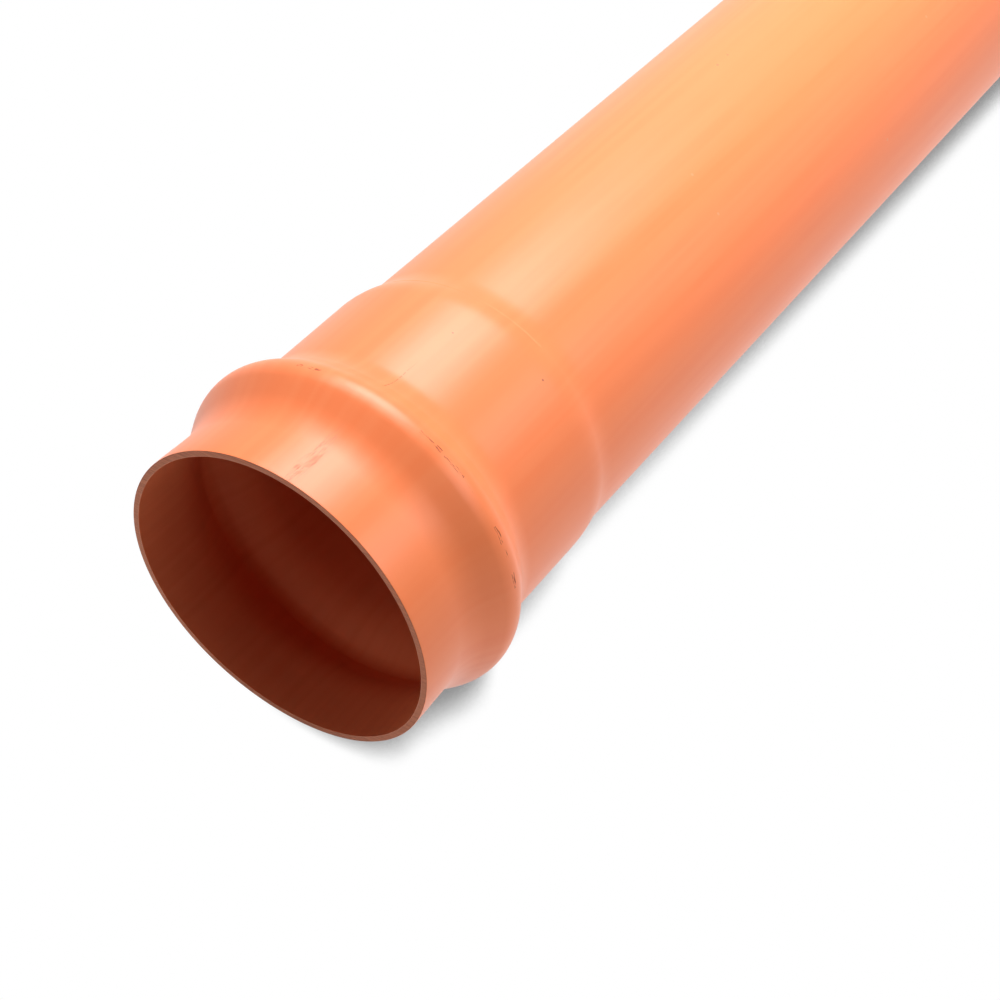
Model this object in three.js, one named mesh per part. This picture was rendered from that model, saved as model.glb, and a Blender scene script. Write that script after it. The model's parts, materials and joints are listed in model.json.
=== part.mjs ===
// Socketed drain pipe: one length of extruded PVC-U sewer pipe, belled at one end into a socket with a
// groove for a ring seal and chamfered at the other end. Millimetres, +Z up.
// The pipe lies on a level floor along X, mouth of the socket towards -X. It touches the floor with the
// crest of its groove and with the edge of its plain end, so its axis falls slightly towards +X.
import * as THREE from "three";

// Barrel and plain end
const barrelDiameter = 160;
const barrelWall = 3.6;
const layingLength = 1000; // from the bottom of the socket to the plain end
const chamferAngle = 15; // degrees, measured from the pipe's axis
const chamferedWall = 1.5; // wall left at the tip of the plain end

// Socket
const socketClearance = 0.5; // on the diameter, round the plain end of the next pipe
const socketWall = 3.3;
const socketDepth = 139; // from the mouth to the shoulder
const shoulderLength = 26;

// Groove for the ring seal, as the outside of the wall shows it
const mouthCollar = 25; // plain stretch from the mouth to the groove
const crestHeight = 10.4; // above the rest of the socket
const crestRadius = 14;
const frontFilletRadius = 36; // on the side of the mouth
const frontFlankAngle = 29; // degrees, of the straight flank between the fillet and the crest
const backFilletRadius = 30;
const backFlankAngle = 33;

// How finely the round forms are faceted
const segmentsAround = 64;
const chordsPerArc = 4; // an even number

const colour = "#f08356";

const barrelRadius = barrelDiameter / 2;
const socketRadius = (barrelDiameter + socketClearance) / 2 + socketWall;
const totalLength = socketDepth + layingLength;

// How far along the axis one side of the groove takes to climb to the top of the crest, over its fillet,
// its straight flank and its share of the crest
function climbLength(filletRadius, flankAngle) {
  const radii = filletRadius + crestRadius;
  const flankRise = crestHeight - radii * (1 - Math.cos(flankAngle));
  return radii * Math.sin(flankAngle) + flankRise / Math.tan(flankAngle);
}

// One side of the pipe's wall, from the mouth to the end of the barrel, as a path of x along the axis and
// y from the axis. inset is how far the side lies inside the socket's outer surface: both sides of the
// groove turn about the same centres, so that its wall keeps one thickness.
function wallSide(inset, barrelSide, endX) {
  const socketSide = socketRadius - inset;
  const frontFillet = frontFilletRadius + inset;
  const backFillet = backFilletRadius + inset;
  const crest = crestRadius - inset;

  const front = THREE.MathUtils.degToRad(frontFlankAngle);
  const back = THREE.MathUtils.degToRad(backFlankAngle);
  const crestX = mouthCollar + climbLength(frontFilletRadius, front);
  const crestY = socketSide + crestHeight - crest;
  const backX = crestX + climbLength(backFilletRadius, back);

  const side = new THREE.Path();
  side.moveTo(0, socketSide);
  side.lineTo(mouthCollar, socketSide);
  side.absarc(mouthCollar, socketSide + frontFillet, frontFillet, -Math.PI / 2, front - Math.PI / 2, false);
  side.absarc(crestX, crestY, crest, Math.PI / 2 + front, Math.PI / 2 - back, true);
  side.absarc(backX, socketSide + backFillet, backFillet, -Math.PI / 2 - back, -Math.PI / 2, false);
  addShoulder(side, socketSide, barrelSide);
  side.lineTo(endX, barrelSide);
  return side;
}

// The shoulder where the socket narrows to the barrel: two equal arcs that meet at half its length
function addShoulder(side, socketSide, barrelSide) {
  const drop = socketSide - barrelSide;
  const turn = 2 * Math.atan(drop / shoulderLength);
  const radius = shoulderLength / (2 * Math.sin(turn));
  const top = Math.PI / 2;
  side.absarc(socketDepth, socketSide - radius, radius, top, top - turn, true);
  side.absarc(socketDepth + shoulderLength, barrelSide + radius, radius, -top - turn, -top, false);
}

// The outside of the wall, up to the last full round before the chamfer
function outsideOfWall() {
  const chamferLength = (barrelWall - chamferedWall) / Math.tan(THREE.MathUtils.degToRad(chamferAngle));
  return wallSide(0, barrelRadius, totalLength - chamferLength).getPoints(chordsPerArc / 2);
}

// The angle at which the pipe leans on its groove: the steepest line from the last full round of the
// barrel back to any point of the socket
function restingTilt(outside) {
  const heel = outside.at(-1);
  const socket = outside.filter((point) => point.x < socketDepth);
  return Math.max(...socket.map((point) => Math.atan2(point.y - heel.y, heel.x - point.x)));
}

// The closed section of the wall, out along the outside, over the chamfered tip and back along the inside,
// turned about the axis with the middle of a facet underneath
function turnedWall(outside) {
  const boreRadius = barrelRadius - barrelWall;
  const inside = wallSide(socketWall, boreRadius, totalLength).getPoints(chordsPerArc / 2);
  const tip = new THREE.Vector2(totalLength, boreRadius + chamferedWall);
  const section = [...outside, tip, ...inside.reverse(), outside[0]];
  const profile = section.map((point) => new THREE.Vector2(point.y, point.x));
  const wall = new THREE.LatheGeometry(profile, segmentsAround, Math.PI / segmentsAround);
  wall.rotateZ(-Math.PI / 2);
  return wall;
}

// Moves the object until the middle of its base is the origin
function standOnFloor(object) {
  const box = new THREE.Box3().setFromObject(object, true);
  const middle = box.getCenter(new THREE.Vector3());
  object.position.set(-middle.x, -middle.y, -box.min.z);
}

const pvc = new THREE.MeshStandardMaterial({ color: colour, roughness: 0.35, metalness: 0 });

const outside = outsideOfWall();
const pipe = new THREE.Mesh(turnedWall(outside), pvc);
pipe.name = "drain_pipe";
pipe.rotation.y = restingTilt(outside);
standOnFloor(pipe);

const part = new THREE.Group();
part.add(pipe);

export default part;
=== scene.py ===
import json
import math

import bpy
from mathutils import Euler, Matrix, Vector


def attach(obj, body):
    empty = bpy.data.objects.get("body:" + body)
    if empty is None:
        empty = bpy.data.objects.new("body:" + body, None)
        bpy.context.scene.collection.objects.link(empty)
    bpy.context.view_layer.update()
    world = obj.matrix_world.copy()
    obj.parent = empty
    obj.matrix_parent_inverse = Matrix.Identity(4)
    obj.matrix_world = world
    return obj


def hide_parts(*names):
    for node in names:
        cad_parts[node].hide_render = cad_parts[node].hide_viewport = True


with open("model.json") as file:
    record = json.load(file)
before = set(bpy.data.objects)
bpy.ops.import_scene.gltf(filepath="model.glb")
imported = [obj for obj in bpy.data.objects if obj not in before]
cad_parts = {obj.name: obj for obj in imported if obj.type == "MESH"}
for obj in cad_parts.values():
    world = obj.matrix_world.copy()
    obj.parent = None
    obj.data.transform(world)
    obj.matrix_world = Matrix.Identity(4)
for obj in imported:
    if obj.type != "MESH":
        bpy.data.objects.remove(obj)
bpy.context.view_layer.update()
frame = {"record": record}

# metres and degrees, as the pipe is made
pipe = {
    "barrelDiameter": 0.160,
    "barrelWall": 0.0036,
    "chamferAngle": 15,
    "chamferedWall": 0.0015,
    "socketClearance": 0.0005,
    "socketWall": 0.0033,
    "socketDepth": 0.139,
    "shoulderLength": 0.026,
    "mouthCollar": 0.025,
    "crestHeight": 0.0104,
    "crestRadius": 0.014,
    "frontFillet": 0.036,
    "frontFlank": 29,
    "backFillet": 0.030,
    "backFlank": 33,
    "sawnEdge": 0.0003,
    "segmentsAround": 200,
    "chordsPerFillet": 12,
    "longestStep": 0.008,
    "crease": 35,
}

# how the hot socket came out of true, upwards and across, at its root and at its mouth
outOfTrue = {
    "rootShift": (0.0, 0.0010, 0),
    "mouthShift": (-0.0006, -0.0002, 0),
    "skew": (-0.010, -0.020, 0),
    "mouthOval": (-0.0003, 0.0006, 0),
    "grooveOval": (-0.0004, -0.0002, 0),
    "saddle": 0.0010,
}


def linearOf(hexColour):
    # sRGB hex to linear RGBA
    channels = [int(hexColour[i:i + 2], 16) / 255 for i in (1, 3, 5)]
    linear = [c / 12.92 if c <= 0.04045 else ((c + 0.055) / 1.055) ** 2.4 for c in channels]
    return (*linear, 1.0)


def addNode(tree, kind, inputs=None, **settings):
    # inputs maps a socket's name or number to a value or to another node's output
    node = tree.nodes.new(kind)
    for name, value in settings.items():
        setattr(node, name, value)
    for key, value in (inputs or {}).items():
        if isinstance(value, bpy.types.NodeSocket):
            tree.links.new(value, node.inputs[key])
        else:
            node.inputs[key].default_value = value
    return node


def calc(tree, operation, *values):
    return addNode(tree, "ShaderNodeMath", dict(enumerate(values)), operation=operation).outputs[0]


# the pipe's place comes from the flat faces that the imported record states
mounts = {mount["name"]: mount for mount in frame["record"]["mounts"]}
axis = -Vector(mounts["socket_mouth"]["axis"]).normalized()
across = Vector((-axis.z, 0, axis.x))
socketRadius = (pipe["barrelDiameter"] + pipe["socketClearance"]) / 2 + pipe["socketWall"]
mouth = Vector(mounts["socket_mouth"]["pos_m"]) - across * (socketRadius - pipe["socketWall"] / 2)
pipeLength = (Vector(mounts["plain_end"]["pos_m"]) - mouth).dot(axis)
tilt = math.atan2(-axis.z, axis.x)


def sectionCorners(tree, sizes):
    # the closed section of the wall: x along the axis, y from it, and the fillet at each corner
    def m(operation, *values):
        return calc(tree, operation, *values)

    socketSurface = sizes["Socket Radius"]
    barrelSurface = sizes["Barrel Radius"]
    bore = m("SUBTRACT", barrelSurface, sizes["Barrel Wall"])
    front = sizes["Front Flank"]
    back = sizes["Back Flank"]

    def run(fillet, angle):
        # the groove's side along the axis: its fillet, its straight flank and its share of the crest
        arcs = m("ADD", fillet, sizes["Crest Radius"])
        rise = m("MULTIPLY", arcs, m("SUBTRACT", 1, m("COSINE", angle)))
        flank = m("DIVIDE", m("SUBTRACT", sizes["Crest Height"], rise), m("TANGENT", angle))
        return m("MULTIPLY_ADD", arcs, m("SINE", angle), flank)

    crestX = m("ADD", sizes["Mouth Collar"], run(sizes["Front Fillet"], front))
    backX = m("ADD", crestX, run(sizes["Back Fillet"], back))
    halfTurn = m("MULTIPLY", m("ADD", front, back), 0.5)
    lean = m("MULTIPLY", m("SUBTRACT", back, front), 0.5)
    shoulderEnd = m("ADD", sizes["Socket Depth"], sizes["Shoulder Length"])

    def side(inset, barrelSide):
        socketSide = m("SUBTRACT", socketSurface, inset)
        frontFillet = m("ADD", sizes["Front Fillet"], inset)
        backFillet = m("ADD", sizes["Back Fillet"], inset)
        crest = m("SUBTRACT", sizes["Crest Radius"], inset)
        crestY = m("SUBTRACT", m("ADD", socketSide, sizes["Crest Height"]), crest)
        peak = m("DIVIDE", crest, m("COSINE", halfTurn))
        frontTangent = m("MULTIPLY", frontFillet, m("TANGENT", m("MULTIPLY", front, 0.5)))
        backTangent = m("MULTIPLY", backFillet, m("TANGENT", m("MULTIPLY", back, 0.5)))
        frontX = m("ADD", sizes["Mouth Collar"], frontTangent)
        footX = m("SUBTRACT", backX, backTangent)
        turn = m("MULTIPLY", m("ARCTAN2", m("SUBTRACT", socketSide, barrelSide), sizes["Shoulder Length"]), 2)
        bend = m("DIVIDE", sizes["Shoulder Length"], m("MULTIPLY", m("SINE", turn), 2))
        reach = m("MULTIPLY", bend, m("TANGENT", m("MULTIPLY", turn, 0.5)))
        return [
            (0, socketSide, sizes["Sawn Edge"]),
            (frontX, socketSide, frontFillet),
            (m("MULTIPLY_ADD", peak, m("SINE", lean), crestX),
             m("MULTIPLY_ADD", peak, m("COSINE", lean), crestY), crest),
            (footX, socketSide, backFillet),
            (m("ADD", sizes["Socket Depth"], reach), socketSide, bend),
            (m("SUBTRACT", shoulderEnd, reach), barrelSide, bend),
        ]

    chamfer = m("DIVIDE", m("SUBTRACT", sizes["Barrel Wall"], sizes["Chamfered Wall"]),
                m("TANGENT", sizes["Chamfer Angle"]))
    tip = [
        (m("SUBTRACT", sizes["Length"], chamfer), barrelSurface, sizes["Sawn Edge"]),
        (sizes["Length"], m("ADD", bore, sizes["Chamfered Wall"]), sizes["Sawn Edge"]),
        (sizes["Length"], bore, sizes["Sawn Edge"]),
    ]
    return side(0, barrelSurface) + tip + side(sizes["Socket Wall"], bore)[::-1]


def strain(tree, sizes):
    # how far each point of the turned wall moves: X is up and Y across the pipe, and -Z along it
    def m(operation, *values):
        return calc(tree, operation, *values)

    def vector(operation, first, second):
        return addNode(tree, "ShaderNodeVectorMath", {0: first, 1: second}, operation=operation)

    def fade(start, end):
        # 1 up to the start and 0 from the end, smoothly
        return addNode(tree, "ShaderNodeMapRange", {
            "Value": along, "From Min": start, "From Max": end, "To Min": 1, "To Max": 0},
            interpolation_type="SMOOTHSTEP").outputs[0]

    def times(vectorValue, factor):
        node = addNode(tree, "ShaderNodeVectorMath", {0: vectorValue}, operation="SCALE")
        tree.links.new(factor, node.inputs["Scale"])
        return node.outputs[0]

    spot = addNode(tree, "GeometryNodeInputPosition").outputs[0]
    parts = addNode(tree, "ShaderNodeSeparateXYZ", {0: spot}).outputs
    along = m("MULTIPLY", parts["Z"], -1)
    turn = m("ARCTAN2", parts["Y"], parts["X"])
    double = m("MULTIPLY", turn, 2)
    lobes = addNode(tree, "ShaderNodeCombineXYZ", {0: m("COSINE", double), 1: m("SINE", double)}).outputs[0]
    outward = addNode(tree, "ShaderNodeCombineXYZ", {0: m("COSINE", turn), 1: m("SINE", turn)}).outputs[0]
    depth = sizes["Socket Depth"]
    shoulderEnd = m("ADD", depth, sizes["Shoulder Length"])
    socket = fade(depth, shoulderEnd)
    mouth = fade(0, sizes["Mouth Collar"])
    grooveEnd = m("MULTIPLY", sizes["Mouth Collar"], 3)
    groove = m("MULTIPLY", fade(sizes["Mouth Collar"], grooveEnd), m("SUBTRACT", 1, mouth))

    reach = m("DIVIDE", along, depth)
    shift = times(sizes["Root Shift"], reach)
    shift = vector("ADD", shift, times(sizes["Mouth Shift"], m("SUBTRACT", 1, reach))).outputs[0]
    shift = times(shift, socket)
    mouthOval = vector("DOT_PRODUCT", lobes, sizes["Mouth Oval"]).outputs["Value"]
    grooveOval = vector("DOT_PRODUCT", lobes, sizes["Groove Oval"]).outputs["Value"]
    swell = m("MULTIPLY_ADD", grooveOval, groove, m("MULTIPLY", mouthOval, mouth))
    skew = vector("DOT_PRODUCT", spot, sizes["Skew"]).outputs["Value"]
    lean = m("MULTIPLY", skew, fade(0, depth))
    lean = m("MULTIPLY_ADD", m("MULTIPLY", m("COSINE", double), sizes["Saddle"]), mouth, lean)
    lean = addNode(tree, "ShaderNodeCombineXYZ", {2: m("MULTIPLY", lean, -1)}).outputs[0]
    shift = vector("ADD", shift, times(outward, swell)).outputs[0]
    return vector("ADD", shift, lean).outputs[0]


def turnedPipeTree(lengths, counts, places, materials):
    # the wall's section turned about the pipe's axis; every size is an input of the group
    tree = bpy.data.node_groups.new("turnedPipe", "GeometryNodeTree")
    kinds = {"Float": lengths, "Int": counts, "Vector": places, "Material": materials}
    for kind, names in kinds.items():
        for name in names:
            tree.interface.new_socket(name, in_out="INPUT", socket_type="NodeSocket" + kind)
    tree.interface.new_socket("Geometry", in_out="OUTPUT", socket_type="NodeSocketGeometry")
    sizes = tree.nodes.new("NodeGroupInput").outputs

    corners = sectionCorners(tree, sizes)
    index = addNode(tree, "GeometryNodeInputIndex").outputs[0]
    spot = addNode(tree, "GeometryNodeIndexSwitch", data_type="VECTOR")
    fillet = addNode(tree, "GeometryNodeIndexSwitch", data_type="FLOAT")
    for switch in (spot, fillet):
        tree.links.new(index, switch.inputs["Index"])
        while len(switch.index_switch_items) < len(corners):
            switch.index_switch_items.new()
    hub = sizes["Barrel Radius"]
    for number, (x, y, radius) in enumerate(corners):
        point = addNode(tree, "ShaderNodeCombineXYZ", {0: calc(tree, "SUBTRACT", y, hub), 1: x}).outputs[0]
        tree.links.new(point, spot.inputs[number + 1])
        tree.links.new(radius, fillet.inputs[number + 1])

    line = addNode(tree, "GeometryNodeMeshLine", {"Count": len(corners)}).outputs[0]
    line = addNode(tree, "GeometryNodeSetPosition", {
        "Geometry": line, "Position": spot.outputs[0]}).outputs[0]
    curve = addNode(tree, "GeometryNodeMeshToCurve", {"Mesh": line}).outputs[0]
    curve = addNode(tree, "GeometryNodeSetSplineCyclic", {"Geometry": curve, "Cyclic": True}).outputs[0]
    curve = addNode(tree, "GeometryNodeFilletCurve", {
        "Curve": curve, "Count": sizes["Chords Per Fillet"], "Radius": fillet.outputs[0],
        "Limit Radius": True}, mode="POLY").outputs[0]

    # long straights get points of their own, no further apart than the longest step
    here = addNode(tree, "GeometryNodeInputPosition").outputs[0]
    following = addNode(tree, "GeometryNodeOffsetPointInCurve", {"Offset": 1}).outputs["Point Index"]
    there = addNode(tree, "GeometryNodeFieldAtIndex", domain="POINT", data_type="FLOAT_VECTOR")
    tree.links.new(here, there.inputs["Value"])
    tree.links.new(following, there.inputs["Index"])
    gap = addNode(tree, "ShaderNodeVectorMath", {0: here, 1: there.outputs[0]}, operation="DISTANCE")
    cuts = calc(tree, "FLOOR", calc(tree, "DIVIDE", gap.outputs["Value"], sizes["Longest Step"]))
    section = addNode(tree, "GeometryNodeSubdivideCurve", {"Curve": curve, "Cuts": cuts}).outputs[0]

    # the sweep along a circle as wide as the barrel leaves the axis along -Z
    circle = addNode(tree, "GeometryNodeCurvePrimitiveCircle", {
        "Resolution": sizes["Segments Around"], "Radius": hub}).outputs[0]
    wall = addNode(tree, "GeometryNodeCurveToMesh", {"Curve": circle, "Profile Curve": section}).outputs[0]
    wall = addNode(tree, "GeometryNodeSetPosition", {
        "Geometry": wall, "Offset": strain(tree, sizes)}).outputs[0]
    wall = addNode(tree, "GeometryNodeTransform", {
        "Geometry": wall, "Translation": sizes["Place"], "Rotation": sizes["Turn"]}).outputs[0]

    edgeAngle = addNode(tree, "GeometryNodeInputMeshEdgeAngle").outputs["Unsigned Angle"]
    crease = addNode(tree, "FunctionNodeCompare", {
        0: edgeAngle, 1: sizes["Crease"]}, operation="GREATER_THAN")
    wall = addNode(tree, "GeometryNodeSetShadeSmooth", {"Geometry": wall, "Shade Smooth": True}).outputs[0]
    wall = addNode(tree, "GeometryNodeSetShadeSmooth", {
        "Geometry": wall, "Selection": crease.outputs[0], "Shade Smooth": False}, domain="EDGE").outputs[0]

    # faces square to the axis are saw cuts
    squareEnough = 0.9
    normal = addNode(tree, "GeometryNodeInputNormal").outputs[0]
    square = addNode(tree, "ShaderNodeVectorMath", {0: normal, 1: sizes["Axis"]}, operation="DOT_PRODUCT")
    sawn = addNode(tree, "FunctionNodeCompare", {
        0: calc(tree, "ABSOLUTE", square.outputs["Value"]), 1: squareEnough}, operation="GREATER_THAN")
    # and faces turned towards the axis are the bore
    reach = addNode(tree, "ShaderNodeVectorMath", {0: here, 1: sizes["Place"]}, operation="SUBTRACT")
    level = addNode(tree, "ShaderNodeVectorMath", {
        0: reach.outputs[0], 1: sizes["Axis"]}, operation="PROJECT")
    outward = addNode(tree, "ShaderNodeVectorMath", {
        0: reach.outputs[0], 1: level.outputs[0]}, operation="SUBTRACT")
    facing = addNode(tree, "ShaderNodeVectorMath", {
        0: normal, 1: outward.outputs[0]}, operation="DOT_PRODUCT")
    bored = addNode(tree, "FunctionNodeCompare", {0: facing.outputs["Value"], 1: 0}, operation="LESS_THAN")
    wall = addNode(tree, "GeometryNodeRealizeInstances", {"Geometry": wall}).outputs[0]
    wall = addNode(tree, "GeometryNodeSetMaterial", {
        "Geometry": wall, "Material": sizes["Wall Material"]}).outputs[0]
    wall = addNode(tree, "GeometryNodeSetMaterial", {
        "Geometry": wall, "Selection": bored.outputs[0], "Material": sizes["Bore Material"]}).outputs[0]
    wall = addNode(tree, "GeometryNodeSetMaterial", {
        "Geometry": wall, "Selection": sawn.outputs[0], "Material": sizes["Sawn Material"]}).outputs[0]
    addNode(tree, "NodeGroupOutput", {0: wall})
    return tree


def plainMesh(name, tree, values):
    # sets the modifier's inputs by their identifiers, and keeps the result as a mesh of its own
    holder = bpy.data.objects.new(name + "Holder", bpy.data.meshes.new(name + "Holder"))
    bpy.context.collection.objects.link(holder)
    modifier = holder.modifiers.new(name, "NODES")
    modifier.node_group = tree
    for item in tree.interface.items_tree:
        if item.in_out == "INPUT":
            modifier[item.identifier] = values[item.name]
    bpy.context.view_layer.update()
    evaluated = holder.evaluated_get(bpy.context.evaluated_depsgraph_get())
    mesh = bpy.data.meshes.new_from_object(evaluated)
    holder.modifiers.remove(modifier)
    bpy.data.objects.remove(holder)
    piece = bpy.data.objects.new(name, mesh)
    bpy.context.collection.objects.link(piece)
    return piece


def makePipe(wallMaterial, boreMaterial, sawnMaterial):
    lengths = {
        "Length": pipeLength,
        "Barrel Radius": pipe["barrelDiameter"] / 2,
        "Barrel Wall": pipe["barrelWall"],
        "Chamfer Angle": math.radians(pipe["chamferAngle"]),
        "Chamfered Wall": pipe["chamferedWall"],
        "Socket Radius": socketRadius,
        "Socket Wall": pipe["socketWall"],
        "Socket Depth": pipe["socketDepth"],
        "Shoulder Length": pipe["shoulderLength"],
        "Mouth Collar": pipe["mouthCollar"],
        "Crest Height": pipe["crestHeight"],
        "Crest Radius": pipe["crestRadius"],
        "Front Fillet": pipe["frontFillet"],
        "Front Flank": math.radians(pipe["frontFlank"]),
        "Back Fillet": pipe["backFillet"],
        "Back Flank": math.radians(pipe["backFlank"]),
        "Sawn Edge": pipe["sawnEdge"],
        "Saddle": outOfTrue["saddle"],
        "Longest Step": pipe["longestStep"],
        "Crease": math.radians(pipe["crease"]),
    }
    counts = {"Segments Around": pipe["segmentsAround"], "Chords Per Fillet": pipe["chordsPerFillet"]}
    places = {
        "Place": tuple(mouth),
        "Turn": (0, tilt - math.pi / 2, 0),
        "Axis": tuple(axis),
        "Root Shift": outOfTrue["rootShift"],
        "Mouth Shift": outOfTrue["mouthShift"],
        "Skew": outOfTrue["skew"],
        "Mouth Oval": outOfTrue["mouthOval"],
        "Groove Oval": outOfTrue["grooveOval"],
    }
    materials = {"Wall Material": wallMaterial, "Bore Material": boreMaterial, "Sawn Material": sawnMaterial}
    tree = turnedPipeTree(lengths, counts, places, materials)
    return plainMesh("drainPipe", tree, {**lengths, **counts, **places, **materials})


# PVC-U as it left the die: sizes of the patterns in metres
extruded = {
    "colour": "#FB8751",
    "paler": "#FC8A55",
    "deeper": "#FA834D",
    "drawLineWidth": 0.006,
    "drawLineLength": 0.3,
    "drawLineRange": (0.35, 0.65),
    "cloudSize": 0.05,
    "cloudRange": (0.3, 0.7),
    "cloudMix": (0.25, 0.75),
    "grainSize": 0.0012,
    "grainHeight": 0.000001,
    "waveSize": 0.07,
    "waveHeight": 0.00005,
    "roughness": 0.34,
    "roughnessSpread": 0.03,
    "ior": 1.5,
    "specularLevel": 0.38,
    "markRoughness": 0.4,
    "scuffColour": "#84391C",
    "rubColour": "#B46E58",
    "turnedColour": "#EC9468",
    "turnedMix": 0.6,
    "turnedRoughness": 0.2,
    "turnedEdge": 0.0002,
    "turnedLineWidth": 0.0005,
    "turnedLineLength": 0.08,
    "turnedHeight": 0.00002,
}

# scuffs where the crest has been dragged: each from one place round it to the next, in metres from
# the top, and how dark it is
crestScuffs = {
    "along": 0.0570,
    "leanShare": 0.64,  # of the mouth's lean that is left at the crest
    "halfWidth": 0.0017,
    "strokeWidth": 0.0005,
    "strokeLength": 0.0045,
    "bandWeight": 0.62,
    "darkRange": (0.97, 1.11),
    "darkest": 0.85,
    "strokes": [
        (-0.1215, -0.1200, 0.7),
        (-0.1145, -0.1072, 0.8),
        (-0.1040, -0.0935, 0.6),
        (-0.0925, -0.0850, 0.8),
        (-0.0800, -0.0775, 0.6),
        (-0.0690, -0.0645, 0.65),
        (-0.0620, -0.0505, 0.75),
        (-0.0490, -0.0462, 0.9),
        (-0.0460, -0.0380, 0.75),
        (-0.0050, -0.0015, 0.6),
        (0.0055, 0.0098, 0.65),
        (0.0098, 0.0125, 0.85),
        (0.0135, 0.0158, 0.75),
        (0.0185, 0.0218, 0.8),
    ],
}

# one fine scratch along the socket, at that place round the pipe
scratch = {
    "start": 0.068,
    "full": 0.070,
    "fading": 0.080,
    "end": 0.100,
    "around": -0.0121,
    "wander": 0.0008,
    "wanderLength": 0.012,
    "breakLength": 0.0015,
    "breakRange": (0.4, 0.5),
    "width": 0.00022,
    "strength": 0.55,
}

# a rub from the rim over the collar: fine lines along the pipe, and one smear among them
rub = {
    "at": (0.016, -0.0125),
    "half": (0.028, 0.0045),
    "lineWidth": 0.0004,
    "lineLength": 0.006,
    "bareRange": (0.51, 0.59),
    "softEdge": 0.6,
    "strength": 0.7,
    "smearAt": (0.0185, -0.0139),
    "smearHalf": (0.0045, 0.0022),
    "smearSoftEdge": 0.8,
    "smearStrength": 0.35,
}

# specks of grit, darker than the wall, and small nicks, paler than it, by place along and round the pipe
specks = [
    {"at": (0.1380, -0.0572), "radius": 0.0008, "colour": "#B4603C"},
    {"at": (0.1230, -0.0131), "radius": 0.0006, "colour": "#B4603C"},
    {"at": (0.4080, 0.0045), "radius": 0.0011, "colour": "#C07850"},
    {"at": (0.4210, 0.0052), "radius": 0.0009, "colour": "#C07850"},
    {"at": (0.3140, -0.0346), "radius": 0.0011, "colour": "#F29468"},
    {"at": (0.3080, -0.0590), "radius": 0.0011, "colour": "#F29468"},
    {"at": (0.4770, -0.1012), "radius": 0.0012, "colour": "#F29468"},
    {"at": (0.5640, -0.0611), "radius": 0.0012, "colour": "#F29468"},
]


def pipeCoordinates(tree):
    # Object coordinates laid along the pipe: x from the mouth, y across and z up across it
    place = addNode(tree, "ShaderNodeTexCoord").outputs["Object"]
    return addNode(tree, "ShaderNodeMapping", {
        "Vector": place, "Location": mouth, "Rotation": (0, tilt, 0)}, vector_type="TEXTURE").outputs[0]


def outwardFrom(tree, spot):
    # the direction straight out from the pipe's axis
    square = addNode(tree, "ShaderNodeVectorMath", {0: spot, 1: (0, 1, 1)}, operation="MULTIPLY").outputs[0]
    return addNode(tree, "ShaderNodeVectorMath", {0: square}, operation="NORMALIZE").outputs[0]


def onBarrel(tree, spot):
    # the spot moved in or out to the barrel's surface, so that a pattern keeps its scale over the socket
    ring = addNode(tree, "ShaderNodeVectorMath", {
        0: outwardFrom(tree, spot), "Scale": pipe["barrelDiameter"] / 2}, operation="SCALE").outputs[0]
    along = addNode(tree, "ShaderNodeVectorMath", {0: spot, 1: (1, 0, 0)}, operation="MULTIPLY").outputs[0]
    return addNode(tree, "ShaderNodeVectorMath", {0: along, 1: ring}).outputs[0]


def unrolled(tree, spot):
    # the outside of the pipe rolled flat: along it, and round it from the top
    parts = addNode(tree, "ShaderNodeSeparateXYZ", {0: spot}).outputs
    turn = calc(tree, "ARCTAN2", parts["Y"], parts["Z"])
    return parts["X"], calc(tree, "MULTIPLY", turn, pipe["barrelDiameter"] / 2)


def noise(tree, vector, size, detail=2.0, roughness=0.5):
    # fractal noise with features of that size, in metres along each axis
    scaled = addNode(tree, "ShaderNodeVectorMath", {
        0: vector, 1: tuple(1 / s for s in size)}, operation="MULTIPLY")
    return addNode(tree, "ShaderNodeTexNoise", {
        "Vector": scaled.outputs[0], "Scale": 1.0, "Detail": detail, "Roughness": roughness}).outputs[0]


def ramp(tree, value, low, high, start=0.0, end=1.0):
    # start up to the low value, end from the high one, and smoothly between them
    return addNode(tree, "ShaderNodeMapRange", {
        "Value": value, "From Min": low, "From Max": high, "To Min": start, "To Max": end},
        interpolation_type="SMOOTHSTEP").outputs[0]


def blot(tree, along, around, at, half, soft=0.5):
    # 1 within an oval patch of the unrolled wall, fading over its soft outer part
    x = calc(tree, "DIVIDE", calc(tree, "SUBTRACT", along, at[0]), half[0])
    y = calc(tree, "DIVIDE", calc(tree, "SUBTRACT", around, at[1]), half[1])
    distance = calc(tree, "SQRT", calc(tree, "MULTIPLY_ADD", x, x, calc(tree, "MULTIPLY", y, y)))
    return ramp(tree, distance, 1 - soft, 1, 1, 0)


def mixColour(tree, factor, first, second):
    node = addNode(tree, "ShaderNodeMix", {"Factor": factor}, data_type="RGBA")
    for number, value in ((6, first), (7, second)):
        if isinstance(value, str):
            node.inputs[number].default_value = linearOf(value)
        else:
            tree.links.new(value, node.inputs[number])
    return node.outputs[2]


def newMaterial(name):
    material = bpy.data.materials.new(name)
    material.use_nodes = True
    tree = material.node_tree
    return material, tree, tree.nodes["Principled BSDF"]


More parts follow.
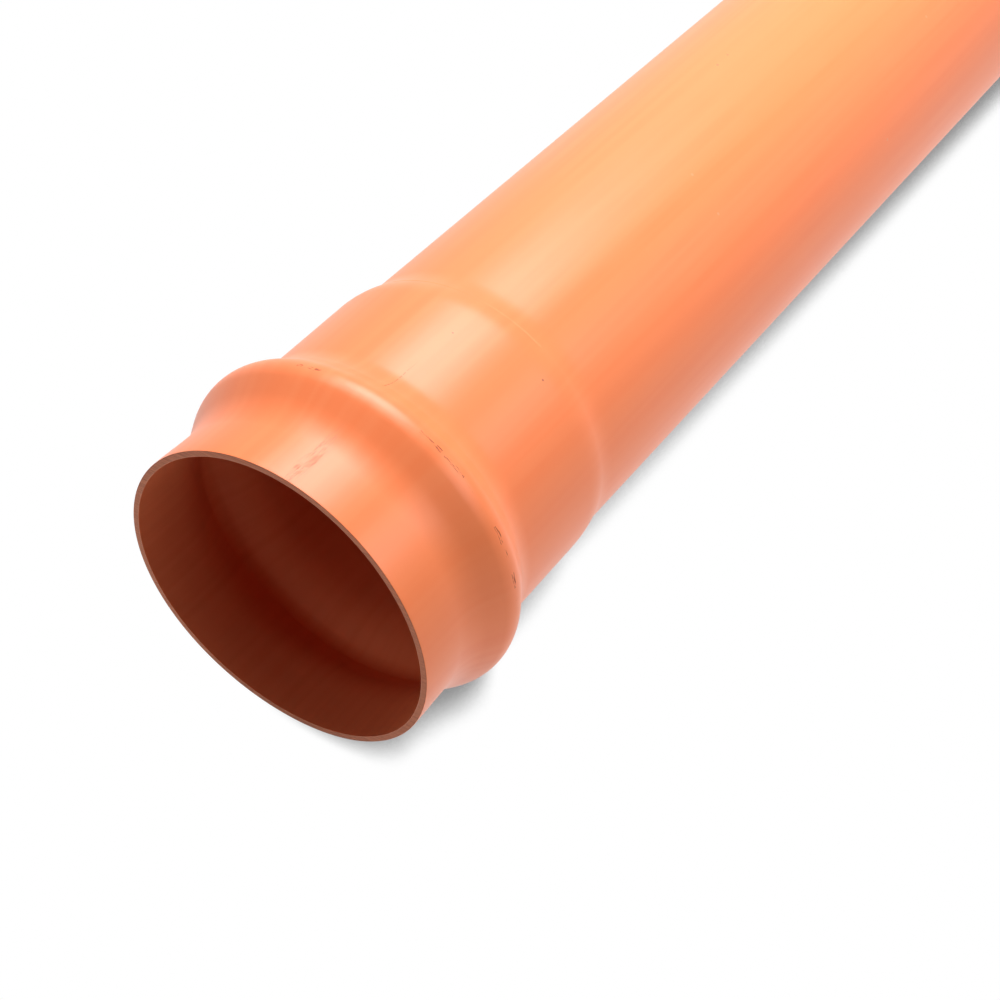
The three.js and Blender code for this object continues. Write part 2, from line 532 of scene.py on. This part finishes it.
def extrudedPvc():
    # even, opaque, semi-gloss plastic: faint draw lines, a cloudy gloss, and the marks of handling
    material, tree, shader = newMaterial("extrudedPvc")
    spot = pipeCoordinates(tree)
    along, around = unrolled(tree, spot)

    # the groove leans with the socket, so marks on its crest follow the lean
    parts = addNode(tree, "ShaderNodeSeparateXYZ", {0: spot}).outputs
    upSkew, acrossSkew, _ = outOfTrue["skew"]
    leaning = calc(tree, "MULTIPLY_ADD", parts["Z"], -crestScuffs["leanShare"] * upSkew, along)
    leaning = calc(tree, "MULTIPLY_ADD", parts["Y"], -crestScuffs["leanShare"] * acrossSkew, leaning)

    skin = onBarrel(tree, spot)
    lineWidth = extruded["drawLineWidth"]
    lines = noise(tree, skin, (extruded["drawLineLength"], lineWidth, lineWidth), detail=1)
    clouds = noise(tree, skin, (extruded["cloudSize"],) * 3)
    streaks = ramp(tree, lines, *extruded["drawLineRange"])
    colour = mixColour(tree, streaks, extruded["deeper"], extruded["paler"])
    evenness = ramp(tree, clouds, *extruded["cloudRange"], *extruded["cloudMix"])
    colour = mixColour(tree, evenness, colour, extruded["colour"])

    # dashes of dark scuff round the crest
    flat = addNode(tree, "ShaderNodeCombineXYZ", {0: leaning, 1: around}).outputs[0]
    dashes = noise(tree, flat, (crestScuffs["strokeWidth"], crestScuffs["strokeLength"], 1), roughness=0.6)
    strokes = crestScuffs["strokes"]
    first = strokes[0][0]
    length = strokes[-1][1] - first
    place = calc(tree, "DIVIDE", calc(tree, "SUBTRACT", around, first), length)
    marked = addNode(tree, "ShaderNodeValToRGB", {"Fac": place})
    marked.color_ramp.interpolation = "CONSTANT"
    stops = marked.color_ramp.elements
    stops[-1].color = (0, 0, 0, 1)
    for start, end, strength in strokes:
        for spotAround, dark in ((start, strength), (end, 0)):
            stop = stops.new(min(max((spotAround - first) / length, 0), 1))
            stop.color = (dark, dark, dark, 1)
    aside = calc(tree, "ABSOLUTE", calc(tree, "SUBTRACT", leaning, crestScuffs["along"]))
    half = crestScuffs["halfWidth"]
    band = ramp(tree, aside, half / 2, half, crestScuffs["bandWeight"], 0)
    dashes = calc(tree, "ADD", dashes, calc(tree, "MULTIPLY", band, marked.outputs[0]))
    dark = ramp(tree, dashes, *crestScuffs["darkRange"], 0, crestScuffs["darkest"])

    # the scratch wanders a little, and breaks up towards its far end
    wander = noise(tree, spot, (scratch["wanderLength"], 1, 1), detail=1)
    wander = calc(tree, "SUBTRACT", wander, 0.5)
    line = calc(tree, "MULTIPLY_ADD", wander, scratch["wander"] * 2, scratch["around"])
    aside = calc(tree, "ABSOLUTE", calc(tree, "SUBTRACT", around, line))
    thin = ramp(tree, aside, scratch["width"] * 0.5, scratch["width"] * 1.5, scratch["strength"], 0)
    broken = ramp(tree, noise(tree, spot, (scratch["breakLength"], 1, 1)), *scratch["breakRange"])
    stretch = calc(tree, "MULTIPLY", ramp(tree, along, scratch["start"], scratch["full"]),
                   ramp(tree, along, scratch["fading"], scratch["end"], 1, 0))
    thin = calc(tree, "MULTIPLY", calc(tree, "MULTIPLY", thin, stretch), broken)
    dark = calc(tree, "MAXIMUM", dark, thin)

    # the rub takes the gloss off the collar in fine lines
    rubbed = noise(tree, flat, (rub["lineLength"], rub["lineWidth"], 1), detail=3)
    rubbed = ramp(tree, rubbed, *rub["bareRange"], 0, rub["strength"])
    patch = blot(tree, along, around, rub["at"], rub["half"], rub["softEdge"])
    rubbed = calc(tree, "MULTIPLY", rubbed, patch)
    smear = blot(tree, along, around, rub["smearAt"], rub["smearHalf"], rub["smearSoftEdge"])
    smear = calc(tree, "MULTIPLY", smear, rub["smearStrength"])
    rubbed = calc(tree, "MAXIMUM", rubbed, smear)

    # the chamfer at the plain end is turned: matt and a little dull, with fine rings
    chamfer = (pipe["barrelWall"] - pipe["chamferedWall"]) / math.tan(math.radians(pipe["chamferAngle"]))
    chamferStart = pipeLength - chamfer
    turned = ramp(tree, along, chamferStart - extruded["turnedEdge"], chamferStart + extruded["turnedEdge"])
    rings = noise(tree, flat, (extruded["turnedLineWidth"], extruded["turnedLineLength"], 1), detail=1)
    rings = calc(tree, "MULTIPLY", rings, turned)

    turnedShare = calc(tree, "MULTIPLY", turned, extruded["turnedMix"])
    colour = mixColour(tree, turnedShare, colour, extruded["turnedColour"])
    colour = mixColour(tree, rubbed, colour, extruded["rubColour"])
    colour = mixColour(tree, dark, colour, extruded["scuffColour"])
    for speck in specks:
        size = (speck["radius"], speck["radius"])
        colour = mixColour(tree, blot(tree, along, around, speck["at"], size), colour, speck["colour"])
    tree.links.new(colour, shader.inputs["Base Color"])

    spread = extruded["roughnessSpread"]
    gloss = calc(tree, "MULTIPLY_ADD", calc(tree, "SUBTRACT", clouds, 0.5), spread * 2, extruded["roughness"])
    gloss = calc(tree, "MULTIPLY_ADD", calc(tree, "SUBTRACT", lines, 0.5), spread / 2, gloss)
    gloss = calc(tree, "MULTIPLY_ADD", calc(tree, "MAXIMUM", rubbed, dark), extruded["markRoughness"], gloss)
    gloss = calc(tree, "MULTIPLY_ADD", turned, extruded["turnedRoughness"], gloss)
    tree.links.new(gloss, shader.inputs["Roughness"])
    shader.inputs["IOR"].default_value = extruded["ior"]
    shader.inputs["Specular IOR Level"].default_value = extruded["specularLevel"]

    grain = noise(tree, spot, (extruded["grainSize"],) * 3, detail=1)
    wave = noise(tree, spot, (extruded["waveSize"] * 2, extruded["waveSize"], extruded["waveSize"]), detail=0)
    height = calc(tree, "MULTIPLY", grain, extruded["grainHeight"])
    height = calc(tree, "MULTIPLY_ADD", wave, extruded["waveHeight"], height)
    height = calc(tree, "MULTIPLY_ADD", rings, extruded["turnedHeight"], height)
    bump = addNode(tree, "ShaderNodeBump", {"Height": height, "Distance": 1.0})
    tree.links.new(bump.outputs[0], shader.inputs["Normal"])
    return material


# PVC-U in the bore, where the mandrel left it duller; its colour is set deeper than the outside's as painted
# shade inside the pipe
bore = {
    # painted shade: both colours are deeper than the wall's outside, for the shade inside the pipe
    "colour": "#E87D52",
    "deeper": "#E5794E",
    "drawLineWidth": 0.005,
    "drawLineLength": 0.3,
    "drawLineRange": (0.35, 0.65),
    "lineHeight": 0.000005,
    "roughness": 0.45,
    "roughnessSpread": 0.05,
    "ior": 1.5,
    "specularLevel": 0.10,
}


def borePvcWithPaintedShade():
    material, tree, shader = newMaterial("borePvcWithPaintedShade")
    skin = onBarrel(tree, pipeCoordinates(tree))
    lineWidth = bore["drawLineWidth"]
    lines = noise(tree, skin, (bore["drawLineLength"], lineWidth, lineWidth), detail=1)
    streaks = ramp(tree, lines, *bore["drawLineRange"])
    tree.links.new(mixColour(tree, streaks, bore["deeper"], bore["colour"]), shader.inputs["Base Color"])
    spread = bore["roughnessSpread"]
    gloss = calc(tree, "MULTIPLY_ADD", lines, spread * 2, bore["roughness"] - spread)
    tree.links.new(gloss, shader.inputs["Roughness"])
    shader.inputs["IOR"].default_value = bore["ior"]
    shader.inputs["Specular IOR Level"].default_value = bore["specularLevel"]
    bump = addNode(tree, "ShaderNodeBump", {
        "Height": calc(tree, "MULTIPLY", lines, bore["lineHeight"]), "Distance": 1.0})
    tree.links.new(bump.outputs[0], shader.inputs["Normal"])
    return material


# PVC-U where the saw went through: the teeth leave it matt and duller, with a pale burr along the bore's
# edge that is partly a painted highlight, and a dark line of painted shade along the outer edge
sawn = {
    "colour": "#E08860",
    "darker": "#BC6846",
    # the burr's pale colour, partly a painted highlight on the bore's edge
    "burrAndPaintedHighlightColour": "#F8B494",
    # painted shade: a dark line along the outer edge
    "paintedEdgeShadeColour": "#6E3C2A",
    "edgeWidth": 0.0007,
    "edgeSamples": 6,
    "burrAndPaintedHighlightTurn": (-0.35, -0.1),
    "paintedEdgeShadeTurn": (0.1, 0.35),
    "patchSize": 0.004,
    "patchRange": (0.35, 0.55),
    "patchMix": (0.25, 0.8),
    "lineWidth": 0.0006,
    "lineLength": 0.02,
    "lineRange": (0.3, 0.7),
    "lineHeight": 0.00004,
    "roughness": 0.6,
}


def sawnPvc():
    material, tree, shader = newMaterial("sawnPvc")
    spot = pipeCoordinates(tree)
    lines = noise(tree, spot, (1, sawn["lineLength"], sawn["lineWidth"]), detail=3, roughness=0.6)
    colour = mixColour(tree, ramp(tree, lines, *sawn["lineRange"]), sawn["darker"], sawn["colour"])

    # the edges are told apart by which way they round off: towards the bore or away from it
    rounded = addNode(tree, "ShaderNodeBevel", {"Radius": sawn["edgeWidth"]}, samples=sawn["edgeSamples"])
    way = addNode(tree, "ShaderNodeVectorMath", {
        0: rounded.outputs[0], 1: outwardFrom(tree, spot)}, operation="DOT_PRODUCT").outputs["Value"]
    patches = noise(tree, spot, (sawn["patchSize"],) * 3)
    patches = ramp(tree, patches, *sawn["patchRange"], *sawn["patchMix"])
    # paler at the bore's edge for the burr and a painted highlight, darker at the outer edge as painted shade
    burrAndPaintedHighlight = calc(tree, "MULTIPLY", ramp(tree, way, *sawn["burrAndPaintedHighlightTurn"], 1, 0), patches)
    paintedEdgeShade = calc(tree, "MULTIPLY", ramp(tree, way, *sawn["paintedEdgeShadeTurn"]), patches)
    colour = mixColour(tree, burrAndPaintedHighlight, colour, sawn["burrAndPaintedHighlightColour"])
    colour = mixColour(tree, paintedEdgeShade, colour, sawn["paintedEdgeShadeColour"])
    tree.links.new(colour, shader.inputs["Base Color"])
    shader.inputs["Roughness"].default_value = sawn["roughness"]
    height = calc(tree, "MULTIPLY", lines, sawn["lineHeight"])
    bump = addNode(tree, "ShaderNodeBump", {"Height": height, "Distance": 1.0})
    tree.links.new(bump.outputs[0], shader.inputs["Normal"])
    return material


pipePiece = makePipe(extrudedPvc(), borePvcWithPaintedShade(), sawnPvc())
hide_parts("drain_pipe")
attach(pipePiece, "root")
print("pipe made:", len(pipePiece.data.polygons), "faces")

# the studio: a softbox overhead, panels further off, and a pale floor that reads as white to the camera
studio = {
    "floorSize": 12,
    "floorColour": "#E7E7E7",
    "floorRoughness": 0.9,
    "worldStrength": 0.03,
    "shadowReach": 0.032,
    "shadowLean": (-0.55, 0.55, 0.63),
    "shadowFrom": 0.50,
    "shadowTo": 0.73,
    "shadowDepth": 0.27,
    "shadowSamples": 20,
}

# each lamp: where it stands, what it faces, its width and height in metres and its radiance
lamps = {
    "softbox": ((0.02, 0.18, 1.06), (0.02, 0.18, 0), (0.95, 0.95), 4.5),
    "softboxCore": ((0.12, 0.17, 1.05), (0.12, 0.17, 0), (0.60, 0.60), 6.2),
    "nearPanel": ((-0.40, -1.0, 0.80), (-0.45, -0.2, 0), (0.65, 0.50), 2.65),
    "frontPanel": ((1.65, -2.86, 2.30), (0, 0, 0.1), (1.8, 1.4), 4.05),
    "endPanel": ((-1.9, 0.5, 0.80), (-0.5, 0, 0.1), (1.4, 0.5), 1.5),
    "rearPanel": ((1.0, 0.9, 1.6), (0.6, 0, 0.1), (0.8, 0.6), 1.15),
}


def makeFloor():
    # lamps find a pale card and reflections a white one; the camera sees white up to the pipe's near shadow
    half = studio["floorSize"] / 2
    mesh = bpy.data.meshes.new("floor")
    corners = [(-half, -half, 0), (half, -half, 0), (half, half, 0), (-half, half, 0)]
    mesh.from_pydata(corners, [], [(0, 1, 2, 3)])
    floor = bpy.data.objects.new("floor", mesh)
    bpy.context.collection.objects.link(floor)
    material = bpy.data.materials.new("paperFloor")
    material.use_nodes = True
    tree = material.node_tree
    shader = tree.nodes["Principled BSDF"]
    shader.inputs["Roughness"].default_value = studio["floorRoughness"]
    shader.inputs["Specular IOR Level"].default_value = 0.0
    shader.inputs["Base Color"].default_value = linearOf(studio["floorColour"])
    lean = addNode(tree, "ShaderNodeCombineXYZ", dict(enumerate(studio["shadowLean"]))).outputs[0]
    shut = addNode(tree, "ShaderNodeAmbientOcclusion", {
        "Normal": lean, "Distance": studio["shadowReach"]}, samples=studio["shadowSamples"])
    shade = addNode(tree, "ShaderNodeMapRange", {
        "Value": shut.outputs["AO"], "From Min": studio["shadowFrom"],
        "From Max": studio["shadowTo"], "To Min": studio["shadowDepth"]})
    seen = addNode(tree, "ShaderNodeEmission", {"Strength": shade.outputs[0]})
    mirrored = addNode(tree, "ShaderNodeEmission")
    ray = addNode(tree, "ShaderNodeLightPath").outputs
    mirroring = calc(tree, "MAXIMUM", ray["Is Glossy Ray"], ray["Is Transmission Ray"])
    mix = addNode(tree, "ShaderNodeMixShader", {0: mirroring, 1: shader.outputs[0], 2: mirrored.outputs[0]})
    mix = addNode(tree, "ShaderNodeMixShader", {
        0: ray["Is Camera Ray"], 1: mix.outputs[0], 2: seen.outputs[0]})
    tree.links.new(mix.outputs[0], tree.nodes["Material Output"].inputs["Surface"])
    mesh.materials.append(material)
    return floor


def makeLamp(name, place, target, size, radiance):
    # an area lamp of that size, which looks that bright
    lamp = bpy.data.lights.new(name, "AREA")
    lamp.shape = "RECTANGLE"
    lamp.size, lamp.size_y = size
    lamp.energy = radiance * math.pi * size[0] * size[1]
    thing = bpy.data.objects.new(name, lamp)
    thing.location = place
    thing.rotation_euler = (Vector(target) - Vector(place)).to_track_quat("-Z", "Y").to_euler()
    bpy.context.collection.objects.link(thing)
    return thing


def makeWorld():
    world = bpy.data.worlds.new("studioWorld")
    world.use_nodes = True
    bpy.context.scene.world = world
    tree = world.node_tree
    background = tree.nodes["Background"]
    ray = addNode(tree, "ShaderNodeLightPath").outputs
    white = calc(tree, "MAXIMUM", ray["Is Camera Ray"], ray["Is Glossy Ray"])
    white = calc(tree, "MAXIMUM", white, ray["Is Transmission Ray"])
    strength = calc(tree, "MULTIPLY_ADD", white, 1 - studio["worldStrength"], studio["worldStrength"])
    background.inputs["Color"].default_value = (1, 1, 1, 1)
    tree.links.new(strength, background.inputs["Strength"])


makeFloor()
for name, (place, target, size, radiance) in lamps.items():
    makeLamp(name, place, target, size, radiance)
makeWorld()
print("studio made")

camera = {
    "place": (-1.0062, -0.4171, 0.7304),
    "heading": 33.914,
    "dip": 43.836,
    "lens": 68.3,
}


def makeCamera():
    lens = bpy.data.cameras.new("camera")
    lens.lens = camera["lens"]
    thing = bpy.data.objects.new("camera", lens)
    thing.location = camera["place"]
    thing.rotation_euler = Euler((math.radians(90 - camera["dip"]), 0, math.radians(camera["heading"] - 90)))
    bpy.context.collection.objects.link(thing)
    bpy.context.scene.camera = thing


makeCamera()
bpy.context.scene.view_settings.view_transform = "Standard"
print("camera set")
